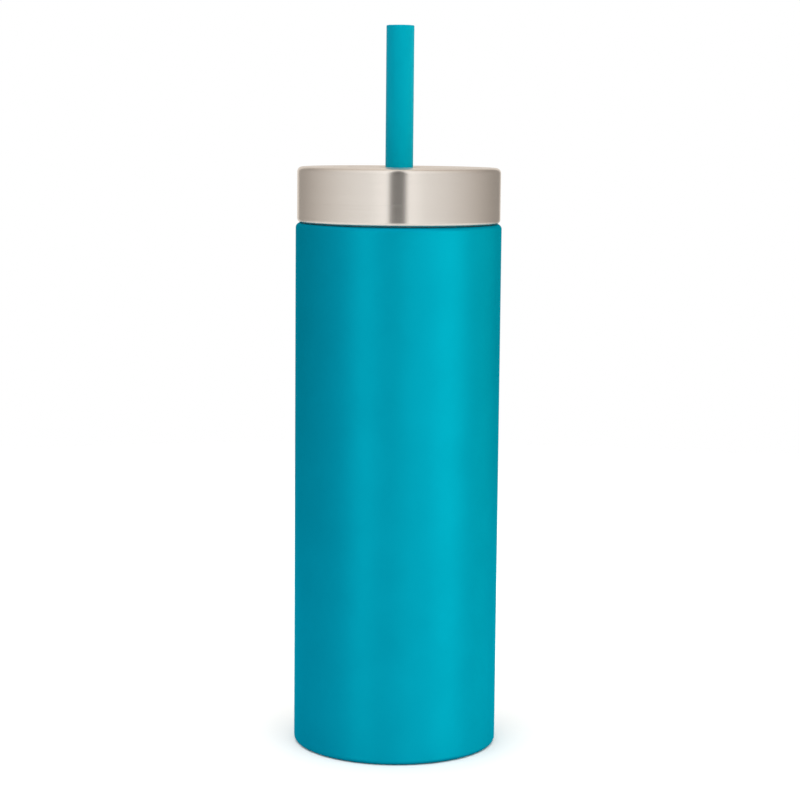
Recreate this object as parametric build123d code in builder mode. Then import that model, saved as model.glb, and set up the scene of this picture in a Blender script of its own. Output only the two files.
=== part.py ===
from build123d import *
import os

# Insulated straw tumbler: a double-walled steel body with a vacuum between the walls, a
# screw-in lid with a steel cover, and a straight straw that slides in the lid's grommet.
# Millimetres, +Z up, origin at the centre of the base on the surface that it stands on.

os.makedirs("parts", exist_ok=True)

# ---------------------------------------------------------------- driving dimensions

body_diameter = 73.0
body_height = 187.3
sheet = 0.4
vacuum_gap = 2.7

lid_diameter = 72.0
lid_top = 207.0
lid_bottom = 187.35

straw_diameter = 9.8
straw_bore = 7.4
straw_bottom = 14.0
straw_top = 256.5

thread_lead = 8.0
thread_starts = 2
thread_turns = 0.75
thread_depth = 1.3
thread_start_height = body_height - 17.2

# ---------------------------------------------------------------- body, worked out

body_radius = body_diameter / 2
shell_inner_radius = body_radius - sheet
liner_outer_radius = shell_inner_radius - vacuum_gap
liner_radius = liner_outer_radius - sheet
lip_radius = (body_radius - liner_radius) / 2
lip_centre_radius = body_radius - lip_radius
lip_centre_height = body_height - lip_radius

foot_height = 0.15
foot_radius = 1.4
base_sheet = 0.5
recess_radius = 33.4
recess_corner = 1.2
recess_depth = 2.0
recess_height = foot_height + recess_depth
base_inside_height = recess_height + base_sheet

port_radius = 1.2
dimple_radius = 6.0
dimple_floor_radius = 5.2
dimple_depth = 0.8

liner_corner = 9.0
liner_floor = 8.6
liner_floor_radius = liner_radius - liner_corner
liner_dome = 1.2
liner_dome_radius = (liner_floor_radius**2 + liner_dome**2) / (2 * liner_dome)

# ---------------------------------------------------------------- thread, worked out

thread_pitch = thread_lead / thread_starts
thread_height = thread_lead * thread_turns
thread_root_width = 1.8
thread_crest_width = 0.9
thread_root_sink = 0.2
plug_clearance = 1.7
plug_radius = liner_radius - plug_clearance
plug_thread_start_height = thread_start_height - thread_pitch / 2

# ---------------------------------------------------------------- lid, worked out

lid_radius = lid_diameter / 2
lid_edge_radius = 1.8
hem_edge_radius = 1.6
hem_inner_radius = 34.2
cover_inside_top = lid_top - sheet
cover_hole_radius = 7.2
cover_hole_bend = 0.8
cover_collar = 2.2

core_fit = 0.1
core_wall = 1.9
core_flange_thickness = 2.0
core_bottom = lid_bottom + sheet
core_flange_top = core_bottom + core_flange_thickness
core_top = cover_inside_top - core_fit
core_radius = lid_radius - sheet - core_fit
plug_wall = 2.1
plug_depth = 22.4
plug_bottom = lid_bottom - plug_depth
plug_floor_thickness = 1.8
plug_floor_top = plug_bottom + plug_floor_thickness
plug_chamfer = 0.8

straw_radius = straw_diameter / 2
straw_bore_radius = straw_bore / 2
straw_end_radius = 0.35
guide_clearance = 0.5
guide_wall = 2.0
guide_radius = straw_radius + guide_clearance
guide_outer_radius = guide_radius + guide_wall
socket_radius = 9.2
socket_outer_radius = 11.0
socket_depth = 7.1
socket_floor = lid_top - socket_depth
socket_floor_thickness = 2.0

deck_thickness = 2.3
deck_bottom = core_top - deck_thickness
deck_gap = 0.2

gasket_gap = 0.3
gasket_height = 6.0
retaining_rib_depth = 0.6
retaining_rib_height = 0.6
retaining_rib_radius = plug_radius + retaining_rib_depth

vent_offset = -17.0
vent_hole_radius = 0.9
vent_duct_radius = 2.2
vent_duct_outer_radius = 3.6


def thread_ridges(root_radius, start_height, inward):
    """Return the helical ridges of a multi-start thread, sunk a little into their wall."""
    side = -1 if inward else 1
    sink = -side * thread_root_sink
    depth = side * thread_depth
    with BuildPart() as ridge:
        with BuildLine() as path:
            Helix(
                pitch=thread_lead,
                height=thread_height,
                radius=root_radius,
                center=(0, 0, start_height),
            )
        with BuildSketch(Plane(origin=path.line @ 0, x_dir=(1, 0, 0), z_dir=path.line % 0)):
            with BuildLine():
                Polyline(
                    (sink, -thread_root_width / 2),
                    (depth, -thread_crest_width / 2),
                    (depth, thread_crest_width / 2),
                    (sink, thread_root_width / 2),
                    close=True,
                )
            make_face()
        sweep(path=path.line, is_frenet=True)
    with BuildPart() as ridges:
        with PolarLocations(0, thread_starts):
            add(ridge.part)
    return ridges.part


liner_ridges = thread_ridges(liner_radius, thread_start_height, inward=True)
plug_ridges = thread_ridges(plug_radius, plug_thread_start_height, inward=False)


# ---------------------------------------------------------------- double-walled body

# Outer wall: rolls in at the mouth to the crown of the lip, and in at the foot.
with BuildPart() as outer_shell:
    with BuildSketch(Plane.XZ):
        with BuildLine():
            mouth = RadiusArc(
                (lip_centre_radius, body_height), (body_radius, lip_centre_height), lip_radius
            )
            side = Line(mouth @ 1, (body_radius, foot_height + foot_radius))
            foot = RadiusArc(side @ 1, (body_radius - foot_radius, foot_height), foot_radius)
            Line(foot @ 1, (recess_radius + base_sheet, foot_height))
            offset(amount=sheet, side=Side.RIGHT)
        make_face()
    revolve(axis=Axis.Z)
outer_shell.part.label = "outer_shell"
export_step(outer_shell.part, "parts/outer_shell.step")

# Inner wall: meets the outer wall at the crown of the lip, and carries the neck thread.
with BuildPart() as liner:
    with BuildSketch(Plane.XZ):
        with BuildLine():
            lip = RadiusArc(
                (lip_centre_radius, body_height), (liner_radius, lip_centre_height), -lip_radius
            )
            Line(lip @ 1, (liner_radius, liner_floor + liner_corner))
            offset(amount=sheet, side=Side.LEFT)
        make_face()
    revolve(axis=Axis.Z)
    add(liner_ridges)
liner.part.label = "liner"
export_step(liner.part, "parts/liner.step")

# Inner floor: slightly domed, with a large corner, welded to the inner wall.
with BuildPart() as liner_base:
    with BuildSketch(Plane.XZ):
        with BuildLine():
            dome = RadiusArc(
                (0, liner_floor + liner_dome), (liner_floor_radius, liner_floor), liner_dome_radius
            )
            RadiusArc(dome @ 1, (liner_radius, liner_floor + liner_corner), -liner_corner)
            offset(amount=sheet, side=Side.RIGHT)
        make_face()
    revolve(axis=Axis.Z)
liner_base.part.label = "liner_base"
export_step(liner_base.part, "parts/liner_base.step")

# Outer bottom: a recessed cup with the pump-out port in a central dimple.
with BuildPart() as base_cup:
    with BuildSketch(Plane.XZ):
        with BuildLine():
            rim = Line((recess_radius, foot_height), (recess_radius, recess_height - recess_corner))
            corner = RadiusArc(
                rim @ 1, (recess_radius - recess_corner, recess_height), -recess_corner
            )
            Polyline(
                corner @ 1,
                (dimple_radius, recess_height),
                (dimple_floor_radius, recess_height + dimple_depth),
                (port_radius, recess_height + dimple_depth),
            )
            offset(amount=base_sheet, side=Side.RIGHT)
        make_face()
    revolve(axis=Axis.Z)
base_cup.part.label = "base_cup"
export_step(base_cup.part, "parts/base_cup.step")

# Solder bead: fills the dimple and plugs the port.
bead_margin = 0.5
bead_sink = 0.2
bead_crown = 0.25
bead_radius = dimple_floor_radius - bead_margin
bead_bottom = recess_height + bead_sink
port_top = recess_height + dimple_depth + base_sheet
with BuildPart() as vacuum_seal:
    with BuildSketch(Plane.XZ):
        with BuildLine():
            ThreePointArc(
                (0, bead_bottom),
                (bead_radius / 2, bead_bottom + bead_crown / 4),
                (bead_radius, bead_bottom + bead_crown),
            )
            Polyline(
                (bead_radius, bead_bottom + bead_crown),
                (bead_radius, recess_height + dimple_depth),
                (port_radius, recess_height + dimple_depth),
                (port_radius, port_top),
                (0, port_top + bead_crown),
                (0, bead_bottom),
            )
        make_face()
    revolve(axis=Axis.Z)
vacuum_seal.part.label = "vacuum_seal"
export_step(vacuum_seal.part, "parts/vacuum_seal.step")

# Cover disc: hides the port, with a spun groove near its edge.
base_cover_radius = 23.0
base_cover_sheet = 0.3
base_cover_chamfer = 0.1
spun_groove_radius = 19.5
spun_groove_width = 1.2
spun_groove_depth = 0.12
with BuildPart() as base_cover:
    with BuildSketch(Plane.XY.offset(recess_height - base_cover_sheet)):
        Circle(base_cover_radius)
    extrude(amount=base_cover_sheet)
    chamfer(base_cover.edges().group_by(Axis.Z)[0], length=base_cover_chamfer)
    with BuildSketch(Plane.XY.offset(recess_height - base_cover_sheet)):
        Circle(spun_groove_radius + spun_groove_width / 2)
        Circle(spun_groove_radius - spun_groove_width / 2, mode=Mode.SUBTRACT)
    extrude(amount=spun_groove_depth, mode=Mode.SUBTRACT)
base_cover.part.label = "base_cover"
export_step(base_cover.part, "parts/base_cover.step")

# Silicone ring: stands just proud of the steel foot, with two grip grooves.
pad_inner_radius = 24.5
pad_outer_radius = 32.1
pad_groove_width = 1.0
pad_groove_depth = 0.6
pad_edge_radius = 0.4
pad_land = (pad_outer_radius - pad_inner_radius - 2 * pad_groove_width) / 3
with BuildPart() as base_pad:
    with BuildSketch(Plane.XY):
        Circle(pad_outer_radius)
        Circle(pad_inner_radius, mode=Mode.SUBTRACT)
    extrude(amount=recess_height)
    fillet(base_pad.edges().group_by(Axis.Z)[0], radius=pad_edge_radius)
    for groove in range(2):
        groove_inner_radius = pad_inner_radius + pad_land + groove * (pad_land + pad_groove_width)
        with BuildSketch(Plane.XY):
            Circle(groove_inner_radius + pad_groove_width)
            Circle(groove_inner_radius, mode=Mode.SUBTRACT)
        extrude(amount=pad_groove_depth, mode=Mode.SUBTRACT)
base_pad.part.label = "base_pad"
export_step(base_pad.part, "parts/base_pad.step")

# Getter: a sintered pill that soaks up stray gas, in a pressed tray on the base cup.
getter_offset = 18.0
getter_radius = 4.2
getter_thickness = 2.2
getter_chamfer = 0.3
tray_sheet = 0.25
tray_fit = 0.1
tray_radius = getter_radius + tray_fit
tray_depth = 2.4
tray_flange_radius = 6.2
getter_bottom = base_inside_height + tray_sheet
with BuildPart() as getter_clip:
    with BuildSketch(Plane.XY.offset(base_inside_height)):
        with Locations((getter_offset, 0)):
            Circle(tray_flange_radius)
    extrude(amount=tray_sheet)
    with BuildSketch(Plane.XY.offset(getter_bottom)):
        with Locations((getter_offset, 0)):
            Circle(tray_radius + tray_sheet)
            Circle(tray_radius, mode=Mode.SUBTRACT)
    extrude(amount=tray_depth)
getter_clip.part.label = "getter_clip"
export_step(getter_clip.part, "parts/getter_clip.step")

with BuildPart() as getter:
    with BuildSketch(Plane.XY.offset(getter_bottom)):
        with Locations((getter_offset, 0)):
            Circle(getter_radius)
    extrude(amount=getter_thickness)
    chamfer(getter.edges().filter_by(GeomType.CIRCLE), length=getter_chamfer)
getter.part.label = "getter"
export_step(getter.part, "parts/getter.step")

# Copper foil: wraps the inner wall inside the vacuum and reflects heat.
foil_gap = 0.2
foil_thickness = 0.1
foil_radius = liner_outer_radius + foil_gap
foil_bottom = 22.0
foil_top = 165.0
with BuildPart() as copper_foil:
    with BuildSketch(Plane.XY.offset(foil_bottom)):
        Circle(foil_radius + foil_thickness)
        Circle(foil_radius, mode=Mode.SUBTRACT)
    extrude(amount=foil_top - foil_bottom)
copper_foil.part.label = "copper_foil"
export_step(copper_foil.part, "parts/copper_foil.step")

# ---------------------------------------------------------------- lid

# Steel cover: collar round the straw, rounded top edge, hem turned in under the core.
with BuildPart() as lid_cover:
    with BuildSketch(Plane.XZ):
        with BuildLine():
            collar = Line(
                (cover_hole_radius, lid_top - cover_collar),
                (cover_hole_radius, lid_top - cover_hole_bend),
            )
            bend = RadiusArc(
                collar @ 1, (cover_hole_radius + cover_hole_bend, lid_top), cover_hole_bend
            )
            top = Line(bend @ 1, (lid_radius - lid_edge_radius, lid_top))
            edge = RadiusArc(top @ 1, (lid_radius, lid_top - lid_edge_radius), lid_edge_radius)
            band = Line(edge @ 1, (lid_radius, lid_bottom + hem_edge_radius))
            hem = RadiusArc(band @ 1, (lid_radius - hem_edge_radius, lid_bottom), hem_edge_radius)
            Line(hem @ 1, (hem_inner_radius, lid_bottom))
            offset(amount=sheet, side=Side.RIGHT)
        make_face()
    revolve(axis=Axis.Z)
    with Locations((vent_offset, 0, lid_top)):
        Hole(radius=vent_hole_radius, depth=2 * sheet)
lid_cover.part.label = "lid_cover"
export_step(lid_cover.part, "parts/lid_cover.step")

# Core: one moulding with the skirt, the flange, the threaded plug, the straw's guide tube,
# the grommet's socket and the vent duct.
skirt_inner_radius = core_radius - core_wall
rib_bottom = core_bottom - gasket_gap - gasket_height - gasket_gap - retaining_rib_height
with BuildPart() as lid_core:
    with BuildSketch(Plane.XZ):
        with BuildLine():
            Polyline(
                (guide_radius, plug_bottom),
                (plug_radius - plug_chamfer, plug_bottom),
                (plug_radius, plug_bottom + plug_chamfer),
                (plug_radius, rib_bottom),
                (retaining_rib_radius, rib_bottom),
                (retaining_rib_radius, rib_bottom + retaining_rib_height),
                (plug_radius, rib_bottom + retaining_rib_height),
                (plug_radius, core_bottom),
                (core_radius - hem_edge_radius, core_bottom),
                (core_radius, core_bottom + hem_edge_radius),
                (core_radius, core_top - lid_edge_radius),
                (core_radius - lid_edge_radius, core_top),
                (skirt_inner_radius, core_top),
                (skirt_inner_radius, core_flange_top),
                (plug_radius - plug_wall, core_flange_top),
                (plug_radius - plug_wall, plug_floor_top),
                (guide_outer_radius, plug_floor_top),
                (guide_outer_radius, socket_floor - socket_floor_thickness),
                (socket_outer_radius, socket_floor - socket_floor_thickness),
                (socket_outer_radius, core_top),
                (socket_radius, core_top),
                (socket_radius, socket_floor),
                (guide_radius, socket_floor),
                close=True,
            )
        make_face()
    revolve(axis=Axis.Z)
    add(plug_ridges)
    with BuildSketch(Plane.XY.offset(plug_bottom)):
        with Locations((vent_offset, 0)):
            Circle(vent_duct_outer_radius)
    extrude(amount=deck_bottom - plug_bottom)
    with BuildSketch(Plane.XY.offset(plug_bottom)):
        with Locations((vent_offset, 0)):
            Circle(vent_duct_radius)
    extrude(amount=deck_bottom - plug_bottom, mode=Mode.SUBTRACT)
lid_core.part.label = "lid_core"
export_step(lid_core.part, "parts/lid_core.step")

# Deck: closes the core from above and backs the steel cover.
with BuildPart() as lid_deck:
    with BuildSketch(Plane.XY.offset(deck_bottom)):
        Circle(skirt_inner_radius - deck_gap)
        Circle(socket_outer_radius + deck_gap, mode=Mode.SUBTRACT)
        with Locations((vent_offset, 0)):
            Circle(vent_hole_radius, mode=Mode.SUBTRACT)
    extrude(amount=deck_thickness)
lid_deck.part.label = "lid_deck"
export_step(lid_deck.part, "parts/lid_deck.step")

# Foam: a light insulating puck inside the plug, cut round the guide tube and the vent duct.
foam_gap = 0.3
foam_chamfer = 0.8
with BuildPart() as lid_foam:
    with BuildSketch(Plane.XY.offset(plug_floor_top + foam_gap)):
        Circle(plug_radius - plug_wall - foam_gap)
        Circle(guide_outer_radius + foam_gap, mode=Mode.SUBTRACT)
        with Locations((vent_offset, 0)):
            Circle(vent_duct_outer_radius + foam_gap, mode=Mode.SUBTRACT)
    extrude(amount=core_flange_top - plug_floor_top - 2 * foam_gap)
    chamfer(lid_foam.edges().filter_by(GeomType.CIRCLE).sort_by(Edge.length)[-2:], foam_chamfer)
lid_foam.part.label = "lid_foam"
export_step(lid_foam.part, "parts/lid_foam.step")

# Gasket: a silicone ring round the plug with two fins, and a flange over the lip.
gasket_web = 0.7
gasket_inner_radius = plug_radius + gasket_gap
gasket_web_radius = gasket_inner_radius + gasket_web
gasket_fin_radius = liner_radius - gasket_gap
gasket_flange_radius = hem_inner_radius - gasket_gap
gasket_top = core_bottom - gasket_gap
gasket_flange_thickness = 0.3
gasket_bottom = gasket_top - gasket_height
fin_height = 0.6
fin_spacing = 1.8
with BuildPart() as lid_gasket:
    with BuildSketch(Plane.XY.offset(gasket_bottom)):
        Circle(gasket_web_radius)
        Circle(gasket_inner_radius, mode=Mode.SUBTRACT)
    extrude(amount=gasket_top - gasket_bottom)
    with BuildSketch(Plane.XY.offset(gasket_top - gasket_flange_thickness)):
        Circle(gasket_flange_radius)
        Circle(gasket_inner_radius, mode=Mode.SUBTRACT)
    extrude(amount=gasket_flange_thickness)
    for fin in range(2):
        with BuildSketch(Plane.XY.offset(gasket_bottom + fin_height + fin * fin_spacing)):
            Circle(gasket_fin_radius)
            Circle(gasket_inner_radius, mode=Mode.SUBTRACT)
        extrude(amount=fin_height)
lid_gasket.part.label = "lid_gasket"
export_step(lid_gasket.part, "parts/lid_gasket.step")

# Grommet: a silicone sleeve held under the cover's collar, with two lips on the straw.
grommet_fit = 0.05
collar_fit = 0.1
grommet_relief_depth = 0.6
grommet_sink = 0.5
grommet_bore = straw_radius + grommet_fit
grommet_relief = grommet_bore + grommet_relief_depth
grommet_flange_radius = socket_radius - grommet_fit
grommet_neck_radius = cover_hole_radius - collar_fit
grommet_top = lid_top - grommet_sink
grommet_shoulder = lid_top - cover_collar - collar_fit
grommet_lip = 1.5
grommet_lead_in = 0.5
with BuildPart() as straw_grommet:
    with BuildSketch(Plane.XZ):
        with BuildLine():
            Polyline(
                (grommet_bore + grommet_lead_in, socket_floor),
                (grommet_flange_radius, socket_floor),
                (grommet_flange_radius, grommet_shoulder),
                (grommet_neck_radius, grommet_shoulder),
                (grommet_neck_radius, grommet_top),
                (grommet_bore + grommet_lead_in, grommet_top),
                (grommet_bore, grommet_top - grommet_lead_in),
                (grommet_bore, grommet_top - grommet_lip),
                (grommet_relief, grommet_top - grommet_lip - grommet_lead_in),
                (grommet_relief, socket_floor + grommet_lip + grommet_lead_in),
                (grommet_bore, socket_floor + grommet_lip),
                (grommet_bore, socket_floor + grommet_lead_in),
                close=True,
            )
        make_face()
    revolve(axis=Axis.Z)
straw_grommet.part.label = "straw_grommet"
export_step(straw_grommet.part, "parts/straw_grommet.step")

# Vent valve: a duckbill pressed into the duct from below; it lets air in behind the drink.
valve_flange_radius = 3.8
valve_flange_thickness = 1.2
valve_stem = 5.0
valve_fit = 0.05
valve_bill = 4.6
valve_bore_radius = 1.1
bill_width = 4.4
bill_lip = 0.9
bill_slit = 0.2
valve_stem_radius = vent_duct_radius - valve_fit
valve_flange_bottom = plug_bottom - valve_flange_thickness
with BuildPart() as vent_valve:
    with BuildSketch(Plane.XY.offset(valve_flange_bottom)):
        with Locations((vent_offset, 0)):
            Circle(valve_flange_radius)
    extrude(amount=valve_flange_thickness)
    with BuildSketch(Plane.XY.offset(plug_bottom)):
        with Locations((vent_offset, 0)):
            Circle(valve_stem_radius)
    extrude(amount=valve_stem)
    with BuildSketch(Plane.XY.offset(valve_flange_bottom)):
        with Locations((vent_offset, 0)):
            Circle(bill_width / 2)
    with BuildSketch(Plane.XY.offset(valve_flange_bottom - valve_bill)):
        with Locations((vent_offset, 0)):
            Ellipse(bill_width / 2, bill_lip / 2)
    loft()
    with BuildSketch(Plane.XY.offset(valve_flange_bottom)):
        with Locations((vent_offset, 0)):
            Circle(valve_bore_radius)
    extrude(amount=valve_flange_thickness + valve_stem, mode=Mode.SUBTRACT)
    with BuildSketch(Plane.XY.offset(valve_flange_bottom)):
        with Locations((vent_offset, 0)):
            Rectangle(2 * valve_bore_radius, bill_slit)
    extrude(amount=-valve_bill, mode=Mode.SUBTRACT)
vent_valve.part.label = "vent_valve"
export_step(vent_valve.part, "parts/vent_valve.step")

# ---------------------------------------------------------------- straw

# Straw: a straight tube with softened ends.
with BuildPart() as straw:
    with BuildSketch(Plane.XY.offset(straw_bottom)):
        Circle(straw_radius)
        Circle(straw_bore_radius, mode=Mode.SUBTRACT)
    extrude(amount=straw_top - straw_bottom)
    fillet(straw.edges().filter_by(GeomType.CIRCLE), radius=straw_end_radius)
straw.part.label = "straw"
export_step(straw.part, "parts/straw.step")
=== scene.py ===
import math

import bmesh
import bpy
from mathutils import Matrix, Vector


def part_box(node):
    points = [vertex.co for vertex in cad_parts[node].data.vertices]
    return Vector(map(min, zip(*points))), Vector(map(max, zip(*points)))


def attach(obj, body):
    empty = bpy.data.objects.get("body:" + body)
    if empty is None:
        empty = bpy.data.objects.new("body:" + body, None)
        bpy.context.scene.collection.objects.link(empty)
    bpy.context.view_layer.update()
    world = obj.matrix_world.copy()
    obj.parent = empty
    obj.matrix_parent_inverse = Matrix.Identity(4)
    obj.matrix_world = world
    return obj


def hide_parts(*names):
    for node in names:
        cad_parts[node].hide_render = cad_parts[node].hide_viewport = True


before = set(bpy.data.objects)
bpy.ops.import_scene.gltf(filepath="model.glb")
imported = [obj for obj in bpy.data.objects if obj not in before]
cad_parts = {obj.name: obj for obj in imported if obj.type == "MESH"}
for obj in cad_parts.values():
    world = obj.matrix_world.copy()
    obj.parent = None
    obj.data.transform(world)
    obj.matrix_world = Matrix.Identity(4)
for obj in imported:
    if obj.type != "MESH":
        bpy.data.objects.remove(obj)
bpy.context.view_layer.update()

# An insulated bottle with a straw through its lid. All but a few small pieces are turned meshes
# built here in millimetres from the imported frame's sizes, and scaled to metres when each mesh is
# made. The small ones keep the frame's own mesh.

MM = 0.001
TAU = math.tau
SEGMENTS = 256          # steps round the axis on the large pieces
SMALL_SEGMENTS = 128    # steps round the axis on the small pieces
HOLE_SEGMENTS = 64      # steps round the vent's hole and its valve
ARC_STEP = math.radians(9)      # the widest step along a fillet
SHARP = math.radians(32)        # an edge that turns more than this stays sharp
SUPPORT = 0.35          # mm, a loop this close to each fillet keeps long walls evenly shaded
ON_AXIS = 1e-6          # mm, a point nearer than this is on the axis
MERGE = 1e-4            # mm, points nearer than this become one
ON_WALL = 0.01          # mm, a point this near a wall's radius takes its thread
THREAD_STEP = 0.2       # mm between the rows of points that carry a thread


def reach(node):
    """(largest radius, bottom, top) in mm of a CAD node that is centred on the axis."""
    low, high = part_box(node)
    return high.x / MM, low.z / MM, high.z / MM


# ---------------------------------------------------------------- sizes from the frame

body_radius, foot, mouth = reach("outer_shell")
lid_radius, lid_bottom, lid_top = reach("lid_cover")
straw_radius, straw_bottom, straw_top = reach("straw")
_, liner_bottom, _ = reach("liner")
core_radius, plug_bottom, core_top = reach("lid_core")
pad_radius, _, recess = reach("base_pad")
disc_radius, disc_bottom, _ = reach("base_cover")
gasket_radius, gasket_bottom, gasket_top = reach("lid_gasket")
grommet_radius, grommet_bottom, grommet_top = reach("straw_grommet")
foil_radius, foil_bottom, foil_top = reach("copper_foil")

sheet = 0.4
lip = 1.75
lip_centre = body_radius - lip
liner_radius = lip_centre - lip
foot_fillet = 1.4
base_sheet = 0.5
recess_radius = 33.4

thread_lead = 8.0
thread_starts = 2
thread_turns = 0.75
thread_depth = 1.3
thread_centre = mouth - 17.2
plug_radius = liner_radius - 1.7
plug_thread_centre = thread_centre - thread_lead / thread_starts / 2

cover_hole = 7.2
lid_edge = 1.8
hem_edge = 1.6
hem_radius = 34.2
vent_x = -17.0


# ---------------------------------------------------------------- outlines and turned meshes

def fillet_points(before, corner, after, radius):
    """The arc of that radius that rounds a corner, as points from one side to the other."""
    a = (Vector(before) - Vector(corner)).normalized()
    b = (Vector(after) - Vector(corner)).normalized()
    half = a.angle(b) / 2
    centre = Vector(corner) + (a + b).normalized() * (radius / math.sin(half))
    reach_along = radius / math.tan(half)
    start = Vector(corner) + a * reach_along - centre
    sweep = start.angle_signed(Vector(corner) + b * reach_along - centre)
    steps = max(3, math.ceil(abs(sweep) / ARC_STEP))
    points = []
    for step in range(steps + 1):
        arm = start.copy()
        arm.rotate(Matrix.Rotation(-sweep * step / steps, 2))
        points.append(tuple(centre + arm))
    return points


def outline(*corners):
    """A closed outline in mm from corners (radius, height) or (radius, height, fillet)."""
    points = []
    count = len(corners)
    for i, corner in enumerate(corners):
        if len(corner) == 2:
            points.append(tuple(corner))
        else:
            before = corners[i - 1][:2]
            after = corners[(i + 1) % count][:2]
            points += fillet_points(before, corner[:2], after, corner[2])
    return with_supports(points)


def with_supports(points):
    """Add a loop near both ends of every long straight run."""
    done = []
    for i, point in enumerate(points):
        after = Vector(points[(i + 1) % len(points)])
        here = Vector(point)
        run = after - here
        done.append(tuple(here))
        if run.length > 4 * SUPPORT:
            along = run.normalized() * SUPPORT
            done.append(tuple(here + along))
            done.append(tuple(after - along))
    return done


def wall_run(radius, start, end, step):
    """Corners close together up or down a wall, for a stretch that carries a thread."""
    count = max(1, round(abs(end - start) / step))
    return [(radius, start + (end - start) * i / count) for i in range(count + 1)]


def add_turned(bm, points, segments, shape=None, centre=(0, 0)):
    """Turn a closed outline round the axis into bm. UV is (turns, mm along the outline)."""
    uv = bm.loops.layers.uv.verify()
    lengths = [0.0]
    for i, point in enumerate(points):
        lengths.append(lengths[-1] + (Vector(points[(i + 1) % len(points)]) - Vector(point)).length)
    rings = []
    for step in range(segments):
        angle = TAU * step / segments
        ring = []
        for r, z in points:
            if shape:
                r = shape(angle, r, z)
            x = centre[0] + r * math.cos(angle)
            y = centre[1] + r * math.sin(angle)
            ring.append(bm.verts.new((x * MM, y * MM, z * MM)))
        rings.append(ring)
    for step in range(segments):
        ring, following = rings[step], rings[(step + 1) % segments]
        for i in range(len(points)):
            j = (i + 1) % len(points)
            if points[i][0] < ON_AXIS and points[j][0] < ON_AXIS:
                continue
            face = bm.faces.new((ring[i], following[i], following[j], ring[j]))
            corners = ((step, i), (step + 1, i), (step + 1, i + 1), (step, i + 1))
            for loop, (turn, along) in zip(face.loops, corners):
                loop[uv].uv = (turn / segments, lengths[along])


def add_grid(bm, rings):
    """Skin closed rings of points, in mm, in order, and cap both ends."""
    uv = bm.loops.layers.uv.verify()
    made = [[bm.verts.new(Vector(p) * MM) for p in ring] for ring in rings]
    count = len(made[0])
    for level in range(len(made) - 1):
        for i in range(count):
            j = (i + 1) % count
            lower, upper = made[level], made[level + 1]
            face = bm.faces.new((lower[i], lower[j], upper[j], upper[i]))
            corners = ((i, level), (i + 1, level), (i + 1, level + 1), (i, level + 1))
            for loop, (turn, height) in zip(face.loops, corners):
                loop[uv].uv = (turn / count, height)
    bm.faces.new(made[0][::-1])
    bm.faces.new(made[-1])


def finish_mesh(bm, name):
    """Close the mesh at the axis, turn its faces outward, mark its sharp edges, link it."""
    bmesh.ops.remove_doubles(bm, verts=bm.verts, dist=MERGE * MM)
    bmesh.ops.recalc_face_normals(bm, faces=bm.faces)
    for face in bm.faces:
        face.smooth = True
    for edge in bm.edges:
        edge.smooth = len(edge.link_faces) == 2 and edge.calc_face_angle() < SHARP
    mesh = bpy.data.meshes.new(name)
    bm.to_mesh(mesh)
    bm.free()
    obj = bpy.data.objects.new(name, mesh)
    bpy.context.scene.collection.objects.link(obj)
    return obj


def turned(name, points, segments=SEGMENTS, shape=None, centre=(0, 0)):
    """A finished piece turned from a closed outline."""
    bm = bmesh.new()
    add_turned(bm, points, segments, shape, centre)
    return finish_mesh(bm, name)


def cut_hole(obj, x, radius, low, high):
    """Cut a round vertical hole through a piece."""
    side = [(0, low), (radius, low), (radius, high), (0, high)]
    cutter = turned(obj.name + "_cutter", side, HOLE_SEGMENTS, centre=(x, 0))
    cut = obj.modifiers.new("hole", "BOOLEAN")
    cut.operation = "DIFFERENCE"
    cut.solver = "EXACT"
    cut.object = cutter
    apply_modifiers(obj)
    bpy.data.objects.remove(cutter)


def apply_modifiers(obj):
    graph = bpy.context.evaluated_depsgraph_get()
    mesh = bpy.data.meshes.new_from_object(obj.evaluated_get(graph))
    obj.modifiers.clear()
    obj.data = mesh


def settle(obj, body, slot, material, *nodes):
    """Give a finished piece its material and body, and hide the CAD nodes it stands for. The slot
    argument is not used.
    """
    obj.data.materials.clear()
    obj.data.materials.append(material)
    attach(obj, body)
    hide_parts(*nodes)
    return obj


# ---------------------------------------------------------------- material nodes

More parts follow.
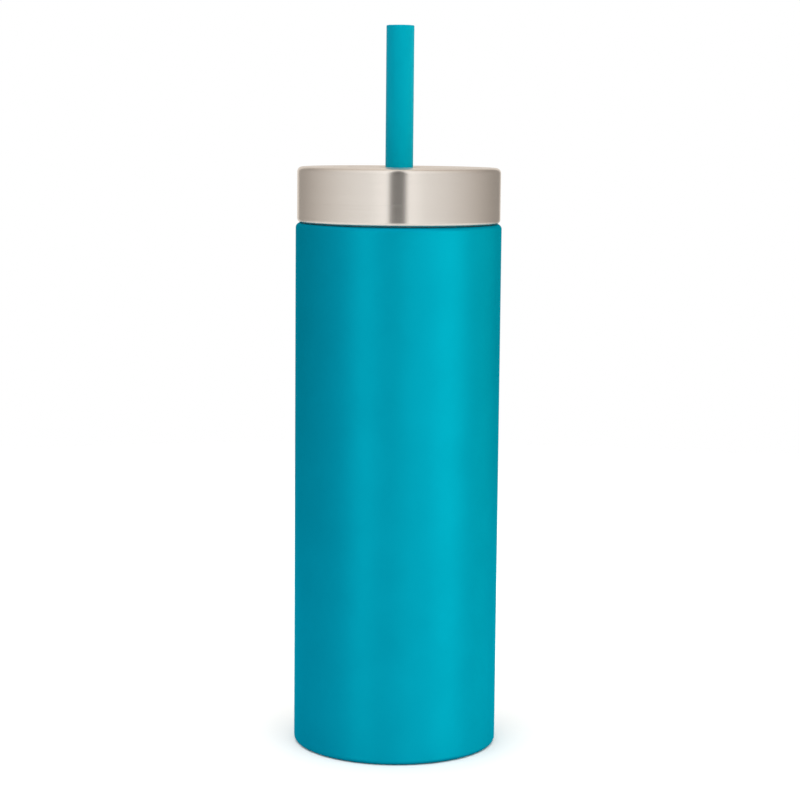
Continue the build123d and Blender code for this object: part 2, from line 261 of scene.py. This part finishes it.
class Nodes:
    """A small helper for building a node tree."""

    def __init__(self, tree):
        self.tree = tree

    def node(self, kind, **settings):
        made = self.tree.nodes.new("ShaderNode" + kind)
        for key, value in settings.items():
            setattr(made, key, value)
        return made

    def link(self, source, target):
        self.tree.links.new(source, target)

    def set_input(self, node, key, value):
        if isinstance(value, bpy.types.NodeSocket):
            self.link(value, node.inputs[key])
        else:
            node.inputs[key].default_value = value

    def place(self, space, scale):
        """Object or UV coordinates, scaled."""
        coordinates = self.node("TexCoord")
        mapping = self.node("Mapping")
        mapping.inputs["Scale"].default_value = scale
        self.link(coordinates.outputs[space], mapping.inputs["Vector"])
        return mapping.outputs["Vector"]

    def ring(self, cells, per_mm):
        """A turned mesh's UV bent into a ring, so that a texture meets itself after one turn."""
        split = self.node("SeparateXYZ")
        self.link(self.node("TexCoord").outputs["UV"], split.inputs[0])
        angle = self.math("MULTIPLY", split.outputs["X"], TAU)
        joined = self.node("CombineXYZ")
        self.set_input(joined, "X", self.math("MULTIPLY", self.math("COSINE", angle), cells / TAU))
        self.set_input(joined, "Y", self.math("MULTIPLY", self.math("SINE", angle), cells / TAU))
        self.set_input(joined, "Z", self.math("MULTIPLY", split.outputs["Y"], per_mm))
        return joined.outputs[0]

    def noise(self, space, scale, size=1.0, detail=3.0, roughness=0.5, distortion=0.0):
        made = self.node("TexNoise")
        vector = self.ring(*scale) if space == "Ring" else self.place(space, scale)
        self.link(vector, made.inputs["Vector"])
        made.inputs["Scale"].default_value = size
        made.inputs["Detail"].default_value = detail
        made.inputs["Roughness"].default_value = roughness
        made.inputs["Distortion"].default_value = distortion
        return made.outputs["Fac"]

    def math(self, operation, a, b=0.0):
        made = self.node("Math", operation=operation)
        self.set_input(made, 0, a)
        self.set_input(made, 1, b)
        return made.outputs[0]

    def range(self, value, low, high, to_low, to_high, kind="LINEAR"):
        made = self.node("MapRange", interpolation_type=kind)
        self.link(value, made.inputs["Value"])
        for key, number in zip(("From Min", "From Max", "To Min", "To Max"),
                               (low, high, to_low, to_high)):
            made.inputs[key].default_value = number
        return made.outputs["Result"]

    def blend(self, factor, a, b):
        made = self.node("Mix", data_type="RGBA")
        self.set_input(made, 0, factor)
        self.set_input(made, 6, a)
        self.set_input(made, 7, b)
        return made.outputs[2]


class Shader(Nodes):
    """One material round a Principled shader."""

    def __init__(self, name, **inputs):
        self.material = bpy.data.materials.new(name)
        self.material.use_nodes = True
        super().__init__(self.material.node_tree)
        self.bsdf = self.tree.nodes["Principled BSDF"]
        for key, value in inputs.items():
            self.bsdf.inputs[key.replace("_", " ")].default_value = value

    def bump(self, height, distance, strength=1.0, invert=False):
        made = self.node("Bump", invert=invert)
        made.inputs["Strength"].default_value = strength
        made.inputs["Distance"].default_value = distance
        self.link(height, made.inputs["Height"])
        self.link(made.outputs["Normal"], self.bsdf.inputs["Normal"])

    def drive(self, key, value):
        self.link(value, self.bsdf.inputs[key])


def powder_coat():
    """Satin teal powder coat: fine orange peel, faint clouding, and a gloss in its own colour."""
    s = Shader("powder_coat_teal", Metallic=0.55, Specular_IOR_Level=0.0)
    s.bsdf.inputs["Specular Tint"].default_value = (0.0, 0.85, 1.0, 1)
    cloud = s.noise("Object", (1, 1, 1), 55, detail=4)
    speck = s.noise("Object", (1, 1, 1), 2600, detail=2)
    deep, plain, pale = (0.0002, 0.167, 0.262, 1), (0.0004, 0.179, 0.279, 1), (0.0005, 0.189, 0.291, 1)
    tone = s.blend(s.range(cloud, 0.3, 0.7, 0, 1), deep, plain)
    s.drive("Base Color", s.blend(s.range(speck, 0.35, 0.75, 0, 0.25), tone, pale))
    s.drive("Roughness", s.range(speck, 0.3, 0.7, 0.44, 0.50))
    peel = s.noise("Object", (1, 1, 1), 900, detail=3, roughness=0.55)
    s.bump(peel, 0.00006, 0.35)
    return s.material


def brushed_steel(name, dark, light, rough, streak=0.04, anisotropy=0.9, bump=0.000008):
    """Steel brushed or spun round the axis: long thin streaks in colour, gloss and height."""
    s = Shader(name, Metallic=1.0)
    s.bsdf.inputs["Anisotropic"].default_value = anisotropy
    s.bsdf.inputs["Anisotropic Rotation"].default_value = 0.25
    tangent = s.node("Tangent", direction_type="UV_MAP")
    s.link(tangent.outputs["Tangent"], s.bsdf.inputs["Tangent"])
    fine = s.noise("Ring", (4, 9), 1.0, detail=4, roughness=0.6)
    broad = s.noise("Ring", (2, 1.6), 1.0, detail=3)
    streaks = s.math("ADD", s.math("MULTIPLY", fine, 0.7), s.math("MULTIPLY", broad, 0.3))
    s.drive("Base Color", s.blend(s.range(streaks, 0.3, 0.7, 0, 1), dark, light))
    s.drive("Roughness", s.range(streaks, 0.3, 0.7, rough + streak, rough - streak))
    s.bump(fine, bump, 0.6)
    return s.material


def moulded(name, dark, light, rough, grain=1400, depth=0.00002, subsurface=0.0):
    """Moulded plastic or silicone: fine grain and faint clouding."""
    s = Shader(name, Roughness=rough)
    if subsurface:
        s.bsdf.inputs["Subsurface Weight"].default_value = subsurface
        s.bsdf.inputs["Subsurface Radius"].default_value = (0.4, 0.8, 1.0)
        s.bsdf.inputs["Subsurface Scale"].default_value = 0.002
    cloud = s.noise("Object", (1, 1, 1), 90, detail=4)
    s.drive("Base Color", s.blend(s.range(cloud, 0.3, 0.7, 0, 1), dark, light))
    pores = s.noise("Object", (1, 1, 1), grain, detail=3)
    s.drive("Roughness", s.range(pores, 0.3, 0.7, rough - 0.04, rough + 0.05))
    s.bump(pores, depth, 0.4)
    return s.material


def drawn_straw():
    """Extruded straw plastic: faint lines along its length and a soft gloss."""
    s = Shader("straw_teal", Specular_IOR_Level=0.03)
    s.bsdf.inputs["Specular Tint"].default_value = (0.0, 0.85, 1.0, 1)
    s.bsdf.inputs["Subsurface Weight"].default_value = 0.25
    s.bsdf.inputs["Subsurface Radius"].default_value = (0.1, 0.8, 1.0)
    s.bsdf.inputs["Subsurface Scale"].default_value = 0.0015
    lines = s.noise("UV", (60, 0.01, 1), 1.0, detail=3)
    cloud = s.noise("Object", (1, 1, 0.3), 120, detail=3)
    deep, pale = (0.0005, 0.190, 0.285, 1), (0.0009, 0.204, 0.303, 1)
    s.drive("Base Color", s.blend(s.range(cloud, 0.3, 0.7, 0, 1), deep, pale))
    s.drive("Roughness", s.range(lines, 0.3, 0.7, 0.38, 0.45))
    s.bump(lines, 0.00002, 0.3)
    return s.material


def crinkled_copper():
    s = Shader("copper_foil", Metallic=1.0, Roughness=0.3)
    crease = s.noise("Object", (1, 1, 1), 160, detail=6, roughness=0.6)
    # Painted shade: the low folds of the crease pattern are coloured darker copper.
    s.drive("Base Color", s.blend(crease, (0.62, 0.27, 0.15, 1), (0.86, 0.45, 0.28, 1)))
    s.drive("Roughness", s.range(crease, 0.3, 0.7, 0.22, 0.4))
    s.bump(crease, 0.0003, 0.6)
    return s.material


def beaded_foam():
    """Expanded foam: packed beads, each painted darker from its crown toward the cracks around it as
    shade.
    """
    s = Shader("lid_foam", Roughness=0.85)
    cells = s.node("TexVoronoi")
    s.link(s.place("Object", (1, 1, 1)), cells.inputs["Vector"])
    cells.inputs["Scale"].default_value = 420
    edge = cells.outputs["Distance"]
    # Painted shade: each bead's colour darkens from its centre toward the recessed cracks between
    # beads.
    bead, crack_shade = (0.90, 0.90, 0.87, 1), (0.72, 0.72, 0.70, 1)
    s.drive("Base Color", s.blend(s.range(edge, 0.1, 0.7, 0, 1), bead, crack_shade))
    s.bump(edge, 0.0004, 0.7, invert=True)
    return s.material


def sealing_glass():
    s = Shader("sealing_glass", Roughness=0.12)
    swirl = s.noise("Object", (1, 1, 1), 500, detail=4, distortion=1.5)
    s.drive("Base Color", s.blend(swirl, (0.10, 0.13, 0.12, 1), (0.22, 0.27, 0.25, 1)))
    s.drive("Roughness", s.range(swirl, 0.3, 0.7, 0.08, 0.2))
    return s.material


def sintered():
    s = Shader("getter_alloy", Metallic=0.7, Roughness=0.7)
    grains = s.noise("Object", (1, 1, 1), 2200, detail=3)
    s.drive("Base Color", s.blend(grains, (0.12, 0.115, 0.11, 1), (0.32, 0.31, 0.30, 1)))
    s.bump(grains, 0.00012, 0.8)
    return s.material


steel_lid = brushed_steel(
    "steel_lid", (0.630, 0.585, 0.538, 1), (0.670, 0.625, 0.577, 1), 0.26, 0.015, bump=0.000003
)
steel_liner = brushed_steel("steel_liner", (0.56, 0.55, 0.53, 1), (0.68, 0.67, 0.65, 1), 0.24, 0.05)
steel_base = brushed_steel("steel_base", (0.50, 0.49, 0.47, 1), (0.64, 0.63, 0.61, 1), 0.34)
steel_disc = brushed_steel("steel_disc", (0.66, 0.66, 0.65, 1), (0.74, 0.74, 0.73, 1), 0.13, 0.03)
coat = powder_coat()
straw_plastic = drawn_straw()
black_plastic = moulded("lid_plastic", (0.012, 0.012, 0.013, 1), (0.022, 0.022, 0.024, 1), 0.42)
clear_silicone = moulded(
    "silicone", (0.62, 0.64, 0.64, 1), (0.72, 0.74, 0.74, 1), 0.5, subsurface=0.3
)
teal_silicone = moulded("grommet_silicone", (0.001, 0.20, 0.27, 1), (0.002, 0.24, 0.31, 1), 0.5)
pad_silicone = moulded("pad_silicone", (0.020, 0.021, 0.023, 1), (0.034, 0.035, 0.038, 1), 0.62)


# ---------------------------------------------------------------- thread shape

def thread_height(angle, z, centre, depth):
    """How far the thread stands out of its wall at that angle and height, in mm."""
    half_root, half_crest, run_out_turns = 0.95, 0.40, 0.06
    best = 0.0
    for start in range(thread_starts):
        turn = (angle / TAU - start / thread_starts) % 1.0
        if turn > thread_turns:
            continue
        off = abs(z - centre - thread_lead * turn)
        rise = min(1.0, max(0.0, (half_root - off) / (half_root - half_crest)))
        run_out = min(1.0, min(turn, thread_turns - turn) / run_out_turns)
        smooth_rise = rise * rise * (3 - 2 * rise)
        smooth_end = run_out * run_out * (3 - 2 * run_out)
        best = max(best, depth * smooth_rise * smooth_end)
    return best


def thread_run(centre):
    """(low, high) of the stretch of wall that carries a thread, with room at both ends."""
    room = 1.5
    return centre - room, centre + thread_lead * thread_turns + room


def liner_shape(angle, r, z):
    """The liner's inner wall with its thread; its other walls stay round."""
    if abs(r - liner_radius) > ON_WALL:
        return r
    return r - thread_height(angle, z, thread_centre, thread_depth)


def plug_shape(angle, r, z):
    """The plug's outer wall with its thread; its other walls stay round."""
    if abs(r - plug_radius) > ON_WALL:
        return r
    return r + thread_height(angle, z, plug_thread_centre, thread_depth)


# ---------------------------------------------------------------- body pieces

def make_outer_shell():
    inner = body_radius - sheet
    shell = outline(
        (lip_centre, mouth),
        (body_radius, mouth, lip),
        (body_radius, foot, foot_fillet),
        (recess_radius + base_sheet, foot),
        (recess_radius + base_sheet, foot + sheet),
        (inner, foot + sheet, foot_fillet - sheet),
        (inner, mouth - sheet, lip - sheet),
        (lip_centre, mouth - sheet),
    )
    settle(turned("body_shell", shell), "bottle", "powder_coat", coat, "outer_shell")


def make_liner():
    outer = liner_radius + sheet
    thread_low, thread_high = thread_run(thread_centre)
    inner_wall = wall_run(liner_radius, thread_high, thread_low, THREAD_STEP)
    wall = outline(
        (lip_centre, mouth),
        (liner_radius, mouth, lip),
        *inner_wall,
        (liner_radius, liner_bottom),
        (outer, liner_bottom),
        (outer, mouth - sheet, lip - sheet),
        (lip_centre, mouth - sheet),
    )
    obj = turned("liner_wall", wall, shape=liner_shape)
    settle(obj, "bottle", "liner_steel", steel_liner, "liner")


def dome_points(edge_radius, edge_height, rise, steps=14):
    """A shallow dome from the axis out to its edge."""
    return [
        (edge_radius * i / steps, edge_height + rise * (1 - (i / steps) ** 2)) for i in range(steps)
    ]


def make_liner_floor():
    corner = 9.0
    dome = 1.2
    corner_steps = 20
    flat = liner_radius - corner
    height = liner_bottom - corner

    def corner_points(radius):
        """The quarter turn of that radius from the flat up to the wall."""
        angles = [TAU / 4 * step / corner_steps for step in range(corner_steps + 1)]
        return [(flat + radius * math.sin(a), liner_bottom - radius * math.cos(a)) for a in angles]

    inside = dome_points(flat, height, dome) + corner_points(corner)
    outside = dome_points(flat, height - sheet, dome) + corner_points(corner + sheet)
    obj = turned("liner_floor", inside + outside[::-1])
    settle(obj, "bottle", "liner_steel", steel_liner, "liner_base")


def make_base():
    dimple, dimple_floor, port, deep = 6.0, 5.2, 1.2, 0.8
    lean, corner, outer_corner = 0.2, 1.2, 1.7
    top = recess + base_sheet
    cup = outline(
        (recess_radius, foot),
        (recess_radius, recess, corner),
        (dimple, recess, 0.3),
        (dimple_floor, recess + deep, 0.3),
        (port, recess + deep),
        (port, top + deep),
        (dimple_floor + lean, top + deep, 0.5),
        (dimple + lean, top, 0.5),
        (recess_radius + base_sheet, top, outer_corner),
        (recess_radius + base_sheet, foot),
    )
    settle(turned("base_cup_pressing", cup), "bottle", "base_steel", steel_base, "base_cup")

    groove, half, depth = 19.5, 0.6, 0.12
    disc = outline(
        (0, disc_bottom),
        (groove - half, disc_bottom, 0.08),
        (groove - half + lean, disc_bottom + depth, 0.05),
        (groove + half - lean, disc_bottom + depth, 0.05),
        (groove + half, disc_bottom, 0.08),
        (disc_radius, disc_bottom, 0.12),
        (disc_radius, recess),
        (0, recess),
    )
    settle(turned("base_disc", disc), "bottle", "polished_steel", steel_disc, "base_cover")

    inner, grooves, groove_width, groove_depth = 24.5, 2, 1.0, 0.6
    rim, groove_edge, groove_corner = 0.4, 0.15, 0.2
    land = (pad_radius - inner - grooves * groove_width) / (grooves + 1)
    corners = [(inner, recess), (inner, 0, rim)]
    for i in range(grooves):
        left = inner + land + i * (land + groove_width)
        right = left + groove_width
        corners += [
            (left, 0, groove_edge),
            (left, groove_depth, groove_corner),
            (right, groove_depth, groove_corner),
            (right, 0, groove_edge),
        ]
    corners += [(pad_radius, 0, rim), (pad_radius, recess)]
    settle(turned("base_ring", outline(*corners)), "bottle", "pad_silicone", pad_silicone, "base_pad")


def make_foil():
    thick, row, crumple = 0.1, 4.0, 0.03

    def crumpled(angle, r, z):
        """Two slow waves that climb as they run round the foil."""
        wave = math.sin(7 * angle + 0.11 * z) + math.sin(23 * angle - 0.37 * z)
        return r + crumple * wave

    corners = wall_run(foil_radius, foil_bottom, foil_top, row)
    corners += wall_run(foil_radius - thick, foil_top, foil_bottom, row)
    foil = turned("foil_wrap", corners, shape=crumpled)
    settle(foil, "bottle", "copper", crinkled_copper(), "copper_foil")


# ---------------------------------------------------------------- lid pieces

def make_lid_cover():
    collar, bend = 2.2, 0.8
    edge, hem = lid_edge, hem_edge
    vent_radius, cut_reach, loop_reach = 0.9, 2, 1.2
    # Loops either side of the vent keep its cut from spreading over the whole top.
    near_vent, past_vent = -vent_x - loop_reach, -vent_x + loop_reach
    cover = outline(
        (cover_hole, lid_top - collar),
        (cover_hole, lid_top, bend),
        (near_vent, lid_top),
        (past_vent, lid_top),
        (lid_radius, lid_top, edge),
        (lid_radius, lid_bottom, hem),
        (hem_radius, lid_bottom),
        (hem_radius, lid_bottom + sheet),
        (lid_radius - sheet, lid_bottom + sheet, hem - sheet),
        (lid_radius - sheet, lid_top - sheet, edge - sheet),
        (past_vent, lid_top - sheet),
        (near_vent, lid_top - sheet),
        (cover_hole + sheet, lid_top - sheet, bend - sheet),
        (cover_hole + sheet, lid_top - collar),
    )
    obj = turned("lid_shell", cover)
    cut_hole(obj, vent_x, vent_radius, lid_top - cut_reach, lid_top + cut_reach)
    settle(obj, "lid", "lid_steel", steel_lid, "lid_cover")


def make_lid_core():
    skirt_wall, plug_wall, guide_wall = 1.9, 2.1, 2.0
    floor_thickness, flange_thickness = 1.8, 2.0
    guide_clearance, socket_fit = 0.5, 0.05
    rib_height, rib_reach, rib_drop = 0.6, 0.6, 0.9
    flange = lid_bottom + sheet
    flange_top = flange + flange_thickness
    skirt_inner = core_radius - skirt_wall
    plug_inner = plug_radius - plug_wall
    floor_top = plug_bottom + floor_thickness
    guide = straw_radius + guide_clearance
    guide_outer = guide + guide_wall
    socket, socket_outer, socket_floor = grommet_radius + socket_fit, 11.0, grommet_bottom
    rib = gasket_bottom - rib_drop
    rib_radius = plug_radius + rib_reach
    thread_low, thread_high = thread_run(plug_thread_centre)
    core = outline(
        (guide, plug_bottom, 0.3),
        (plug_radius, plug_bottom, 0.8),
        *wall_run(plug_radius, thread_low, thread_high, THREAD_STEP),
        (plug_radius, rib, 0.1),
        (rib_radius, rib, 0.2),
        (rib_radius, rib + rib_height, 0.2),
        (plug_radius, rib + rib_height, 0.1),
        (plug_radius, flange, 0.2),
        (core_radius, flange, hem_edge),
        (core_radius, core_top, lid_edge),
        (skirt_inner, core_top, 0.3),
        (skirt_inner, flange_top, 0.3),
        (plug_inner, flange_top, 0.3),
        (plug_inner, floor_top, 0.5),
        (guide_outer, floor_top, 0.5),
        (guide_outer, socket_floor - flange_thickness, 0.3),
        (socket_outer, socket_floor - flange_thickness, 0.3),
        (socket_outer, core_top, 0.2),
        (socket, core_top, 0.2),
        (socket, socket_floor, 0.2),
        (guide, socket_floor, 0.2),
    )
    obj = turned("lid_moulding", core, shape=plug_shape)
    settle(obj, "lid", "lid_plastic", black_plastic, "lid_core")


def make_gasket():
    gap, web_wall, flange = 0.3, 0.7, 0.3
    fins, fin_start, fin_pitch = 2, 0.6, 1.8
    fin_thickness, tip_low, tip_high = 0.6, 0.1, 0.55
    inner = plug_radius + gap
    web = inner + web_wall
    fin = liner_radius - gap
    corners = [(inner, gasket_top, 0.1), (inner, gasket_bottom, 0.2), (web, gasket_bottom, 0.2)]
    for i in range(fins):
        low = gasket_bottom + fin_start + fin_pitch * i
        corners += [
            (web, low, 0.1),
            (fin, low + tip_low, 0.2),
            (fin, low + tip_high, 0.15),
            (web, low + fin_thickness, 0.05),
        ]
    corners += [
        (web, gasket_top - flange, 0.3),
        (gasket_radius, gasket_top - flange, 0.12),
        (gasket_radius, gasket_top, 0.12),
    ]
    gasket = turned("seal_ring", outline(*corners))
    settle(gasket, "lid_seal", "silicone", clear_silicone, "lid_gasket")


def make_grommet():
    straw_fit, collar_fit, relief_depth = 0.05, 0.1, 0.6
    shoulder_drop, lip_land, lip_end = 2.3, 1.5, 2.0
    bore = straw_radius + straw_fit
    relief = bore + relief_depth
    neck = cover_hole - collar_fit
    shoulder = lid_top - shoulder_drop
    corners = [
        (bore, grommet_bottom, 0.45),
        (grommet_radius, grommet_bottom, 0.3),
        (grommet_radius, shoulder, 0.3),
        (neck, shoulder, 0.15),
        (neck, grommet_top, 0.4),
        (bore, grommet_top, 0.45),
        (bore, grommet_top - lip_land, 0.2),
        (relief, grommet_top - lip_end, 0.3),
        (relief, grommet_bottom + lip_end, 0.3),
        (bore, grommet_bottom + lip_land, 0.2),
    ]
    grommet = turned("grommet_sleeve", outline(*corners), SMALL_SEGMENTS)
    settle(grommet, "lid", "grommet_silicone", teal_silicone, "straw_grommet")


def make_vent_valve():
    """A duckbill: a flange and stem, and a bill that flattens to a slit."""
    low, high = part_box("vent_valve")
    bill_end, stem_top = low.z / MM, high.z / MM
    stem, flange, bore, bill = 2.15, 3.8, 1.1, 2.2
    flange_thickness, collar, bill_overlap, lip_width = 1.2, 0.6, 0.3, 0.2
    flange_low = plug_bottom - flange_thickness
    bm = bmesh.new()
    body = outline(
        (bore, flange_low - collar),
        (bill, flange_low - collar),
        (bill, flange_low, 0.1),
        (flange, flange_low, 0.3),
        (flange, plug_bottom, 0.1),
        (stem, plug_bottom, 0.1),
        (stem, stem_top, 0.4),
        (bore, stem_top, 0.2),
    )
    add_turned(bm, body, HOLE_SEGMENTS, centre=(vent_x, 0))
    rings = []
    levels = 12
    bill_top = flange_low - bill_overlap
    for level in range(levels + 1):
        t = level / levels
        z = bill_top + (bill_end - bill_top) * t
        narrow = 1 - (1 - lip_width) * t ** 0.8
        ring = []
        for i in range(HOLE_SEGMENTS):
            angle = TAU * i / HOLE_SEGMENTS
            ring.append((vent_x + bill * math.cos(angle), bill * narrow * math.sin(angle), z))
        rings.append(ring)
    add_grid(bm, rings)
    valve = finish_mesh(bm, "duckbill")
    settle(valve, "lid", "silicone", clear_silicone, "vent_valve")


def make_straw():
    bore, end_round = 3.7, 0.35
    tube = outline(
        (straw_radius, straw_bottom, end_round),
        (straw_radius, straw_top, end_round),
        (bore, straw_top, end_round),
        (bore, straw_bottom, end_round),
    )
    obj = turned("straw_tube", tube, SMALL_SEGMENTS)
    settle(obj, "straw", "straw_plastic", straw_plastic, "straw")


def dress_cad_nodes():
    """Materials for the small CAD nodes that keep their own mesh."""
    chosen = {
        "getter_clip": steel_base,
        "getter": sintered(),
        "vacuum_seal": sealing_glass(),
        "lid_deck": black_plastic,
        "lid_foam": beaded_foam(),
    }
    for name, material in chosen.items():
        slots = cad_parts[name].data.materials
        slots.clear()
        slots.append(material)


make_outer_shell()
make_liner()
make_liner_floor()
make_base()
make_foil()
make_lid_cover()
make_lid_core()
make_gasket()
make_grommet()
make_vent_valve()
make_straw()
dress_cad_nodes()


# ---------------------------------------------------------------- stage, lights and camera

def make_stage():
    """A pale round floor that fades into the white surround."""
    bm = bmesh.new()
    radius, fade_start, fade_end = 1.6, 0.25, 0.75
    bmesh.ops.create_circle(bm, cap_ends=True, radius=radius, segments=SMALL_SEGMENTS)
    obj = finish_mesh(bm, "studio_floor")
    s = Shader("studio_floor", Roughness=0.9)
    s.bsdf.inputs["Specular IOR Level"].default_value = 0.1
    mottle = s.noise("Object", (1, 1, 1), 6, detail=2)
    s.drive("Base Color", s.blend(mottle, (0.93, 0.93, 0.93, 1), (0.95, 0.95, 0.95, 1)))
    clear = s.node("BsdfTransparent")
    mix = s.node("MixShader")
    distance = s.node("VectorMath", operation="LENGTH")
    s.link(s.place("Object", (1, 1, 1)), distance.inputs[0])
    s.link(s.range(distance.outputs["Value"], fade_start, fade_end, 0, 1), mix.inputs[0])
    s.link(s.bsdf.outputs[0], mix.inputs[1])
    s.link(clear.outputs[0], mix.inputs[2])
    s.link(mix.outputs[0], s.tree.nodes["Material Output"].inputs["Surface"])
    obj.data.materials.append(s.material)


def make_world():
    """A light tent: brightest to either side of the camera, dimmer and warmer toward the back, a
    brighter backdrop straight behind, a brighter ceiling, and a slim dark gap where the camera
    stands. It is seen directly as an even white surround."""
    front, back, edge_lift, backdrop = 1.13, 0.36, 1.22, 0.86
    centre, gap_centre, back_centre = math.radians(-6), math.radians(-1.2), math.radians(3)
    ceiling, ceiling_edge, ceiling_full = 0.3, 0.35, 0.85
    gap_inner, gap_outer, gap_level = math.radians(7.8), math.radians(11), 0.10
    lift_end = math.radians(32)
    backdrop_edge, backdrop_full = math.cos(math.radians(150)), math.cos(math.radians(166))
    world = bpy.data.worlds.new("studio")
    bpy.context.scene.world = world
    world.use_nodes = True
    s = Nodes(world.node_tree)
    direction = s.node("SeparateXYZ")
    s.link(s.node("TexCoord").outputs["Generated"], direction.inputs[0])
    toward = s.math("MULTIPLY", direction.outputs["Y"], -1.0)
    azimuth = s.math("ARCTAN2", direction.outputs["X"], toward)
    facing = s.range(s.math("COSINE", s.math("SUBTRACT", azimuth, centre)), -1, 1, 0, 1)
    off_gap = s.math("ABSOLUTE", s.math("SUBTRACT", azimuth, gap_centre))
    open_tent = s.range(off_gap, gap_inner, gap_outer, gap_level, 1.0, "SMOOTHSTEP")
    lift = s.range(off_gap, gap_outer, lift_end, edge_lift, 1.0)
    walls = s.math("MULTIPLY", s.range(facing, 0, 1, back, front), lift)
    away = s.math("COSINE", s.math("SUBTRACT", azimuth, back_centre))
    behind = s.range(away, backdrop_edge, backdrop_full, 0, backdrop, "SMOOTHSTEP")
    above = s.range(direction.outputs["Z"], ceiling_edge, ceiling_full, 0, ceiling, "SMOOTHSTEP")
    level = s.math("ADD", s.math("MAXIMUM", walls, behind), above)
    glow = s.tree.nodes["Background"]
    s.link(s.blend(facing, (1.0, 0.91, 0.82, 1), (1.0, 1.0, 1.0, 1)), glow.inputs["Color"])
    s.link(s.math("MULTIPLY", level, open_tent), glow.inputs["Strength"])
    seen = s.node("Background")
    seen.inputs["Strength"].default_value = 1.0
    seen.inputs["Color"].default_value = (1, 1, 1, 1)
    mix = s.node("MixShader")
    s.link(s.node("LightPath").outputs["Is Camera Ray"], mix.inputs[0])
    s.link(glow.outputs[0], mix.inputs[1])
    s.link(seen.outputs[0], mix.inputs[2])
    s.link(mix.outputs[0], s.tree.nodes["World Output"].inputs["Surface"])


AIM_HEIGHT = 0.12


def softbox(name, azimuth, distance, height, width, tall, power, colour=(1, 1, 1)):
    """A tall panel that faces the bottle. Azimuth 0 is the camera's side, positive to the right."""
    light = bpy.data.lights.new(name, "AREA")
    light.shape = "RECTANGLE"
    light.size = width
    light.size_y = tall
    light.energy = power
    light.color = colour
    obj = bpy.data.objects.new(name, light)
    bpy.context.scene.collection.objects.link(obj)
    angle = math.radians(azimuth)
    obj.location = (distance * math.sin(angle), -distance * math.cos(angle), height)
    aim = Vector((0, 0, AIM_HEIGHT)) - obj.location
    obj.rotation_euler = aim.to_track_quat("-Z", "Y").to_euler()
    return obj


def lit_only(name, *pieces):
    """A collection of pieces for a light to be limited to."""
    collection = bpy.data.collections.new(name)
    for piece in pieces:
        collection.objects.link(bpy.data.objects[piece])
    return collection


def make_lights():
    """Four softboxes are flagged off all but the coloured pieces, and only those stop them, so
    they reach past the floor and into the groove under the lid. The wide one overhead also
    lights the floor, and is flagged off the steel, which mirrors the tent alone."""
    coloured = lit_only("coloured_pieces", "body_shell", "straw_tube")
    distance, height, tall = 1.2, 0.25, 1.4
    gel, warmer_gel = (0.15, 1.0, 0.72), (0.15, 1.0, 0.60)
    panels = (
        ("key_right", 58, 0.80, 11.8, gel),
        ("fill_left", -36, 0.35, 5.7, gel),
        ("front", 15, 0.60, 5.0, gel),
        ("side_right", 110, 0.80, 4.2, warmer_gel),
    )
    for name, azimuth, width, power, colour in panels:
        panel = softbox(name, azimuth, distance, height, width, tall, power, colour)
        panel.light_linking.receiver_collection = coloured
        panel.light_linking.blocker_collection = coloured
    top = softbox("overhead", 0, 0.01, 1.6, 2.4, 2.4, 22)
    top.rotation_euler = (0, 0, 0)
    top.light_linking.receiver_collection = lit_only(
        "under_overhead", "body_shell", "straw_tube", "studio_floor"
    )


def make_camera():
    """The viewpoint: a little above the lid, looking slightly down, leaning half a degree."""
    distance, height = 0.7666, 0.2215
    pitch, yaw, roll = math.radians(7.245), math.radians(0.077), math.radians(0.526)
    camera = bpy.data.cameras.new("camera")
    camera.sensor_width = 36.0
    camera.lens = 97.04
    camera.clip_start = 0.01
    obj = bpy.data.objects.new("camera", camera)
    bpy.context.scene.collection.objects.link(obj)
    turn = Matrix.Rotation(-yaw, 4, "Z") @ Matrix.Rotation(math.pi / 2 - pitch, 4, "X")
    obj.matrix_world = (
        Matrix.Translation((0, -distance, height)) @ turn @ Matrix.Rotation(roll, 4, "Z")
    )
    bpy.context.scene.camera = obj


make_stage()
make_world()
make_lights()
make_camera()
bpy.context.scene.view_settings.view_transform = "Standard"
